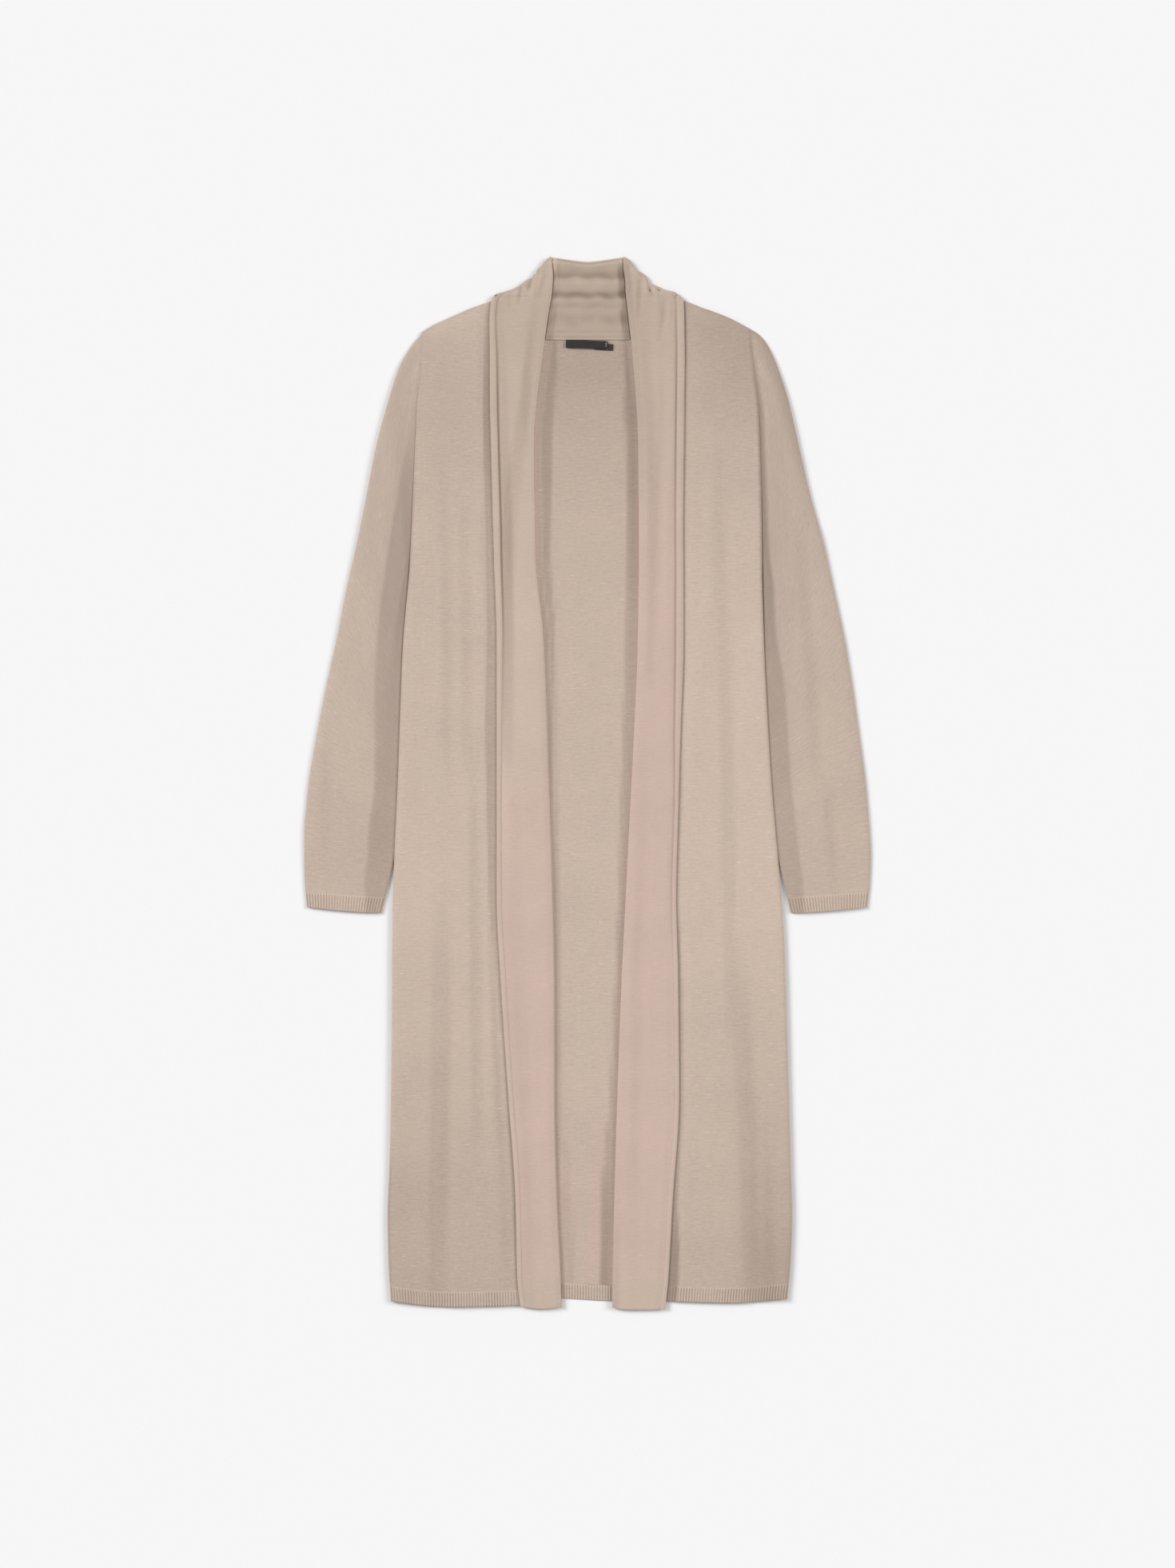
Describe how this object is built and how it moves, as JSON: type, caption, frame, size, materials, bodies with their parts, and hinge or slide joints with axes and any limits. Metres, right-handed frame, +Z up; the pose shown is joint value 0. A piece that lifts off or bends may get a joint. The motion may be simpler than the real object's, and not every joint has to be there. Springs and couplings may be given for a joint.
{
  "type": "duster cardigan",
  "caption": "Long open cardigan of fine knit laid flat, front up, with a folded shawl collar and lapels, long sleeves and ribbed hems and cuffs.",
  "frame": {"origin": "middle of the laid garment's outline, on the surface that it lies on", "axes": "+X across the garment to the right as seen, +Y from the hem to the collar, +Z up from the surface, with the front of the garment up"},
  "size_m": [0.638, 1.183, 0.0137],
  "materials": {
    "knit": "fine jersey knit, greige melange, matt",
    "band": "smooth fine knit, greige with a faint pink cast, matt",
    "rib": "fine one by one rib, greige, matt",
    "label": "dark woven label, bare",
    "size_tab": "dark brown woven tab, bare"
  },
  "bodies": {
    "root": {"back": "knit", "back_hem": "rib", "front_left": "knit", "front_right": "knit", "front_hem_left": "rib", "front_hem_right": "rib", "lapel_left": "band", "lapel_right": "band", "trim_left": "band", "trim_right": "band", "collar_left": "band", "collar_right": "band", "sleeve_left": "knit", "sleeve_right": "knit", "cuff_left": "rib", "cuff_right": "rib", "neck_label": "label", "size_tab": "size_tab"}
  },
  "joints": []
}
